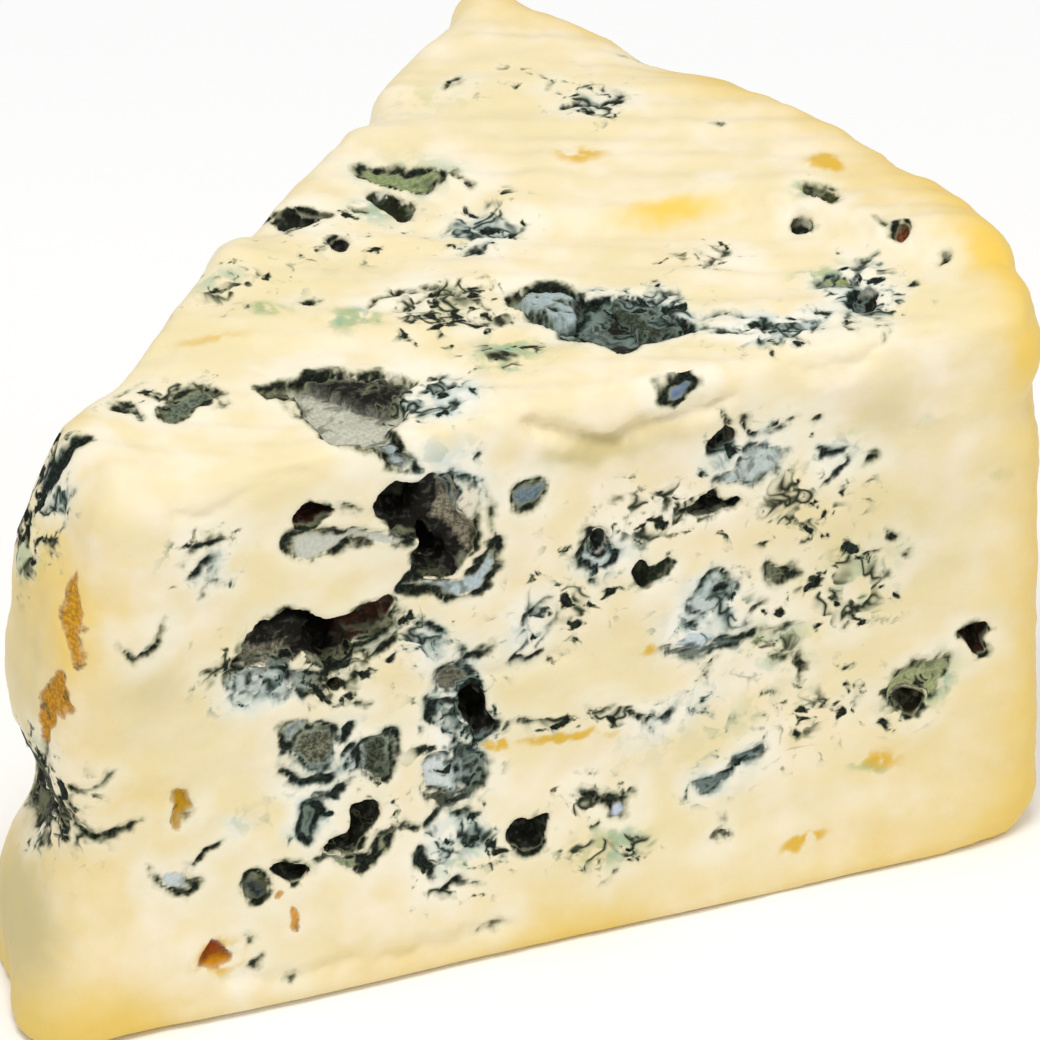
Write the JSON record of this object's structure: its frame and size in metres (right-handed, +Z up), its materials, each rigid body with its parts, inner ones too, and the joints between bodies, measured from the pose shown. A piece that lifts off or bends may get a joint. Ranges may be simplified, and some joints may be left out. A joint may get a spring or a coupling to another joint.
{
  "type": "blue cheese wedge",
  "caption": "Thick wedge of creamy blue cheese with a blunt tip, open mould pockets in the cut faces and a thin rind at the round end.",
  "frame": {"origin": "on the base, under the middle of the wedge's bounding box", "axes": "+X from the blunt tip towards the rind, the flat front cut faces -Y, +Z up out of the top cut"},
  "size_m": [0.1404, 0.1072, 0.0853],
  "materials": {
    "paste": "creamy ivory paste with blue-green mould veins, moist and slightly waxy"
  },
  "bodies": {
    "root": {"cheese_wedge": "paste"}
  },
  "joints": []
}
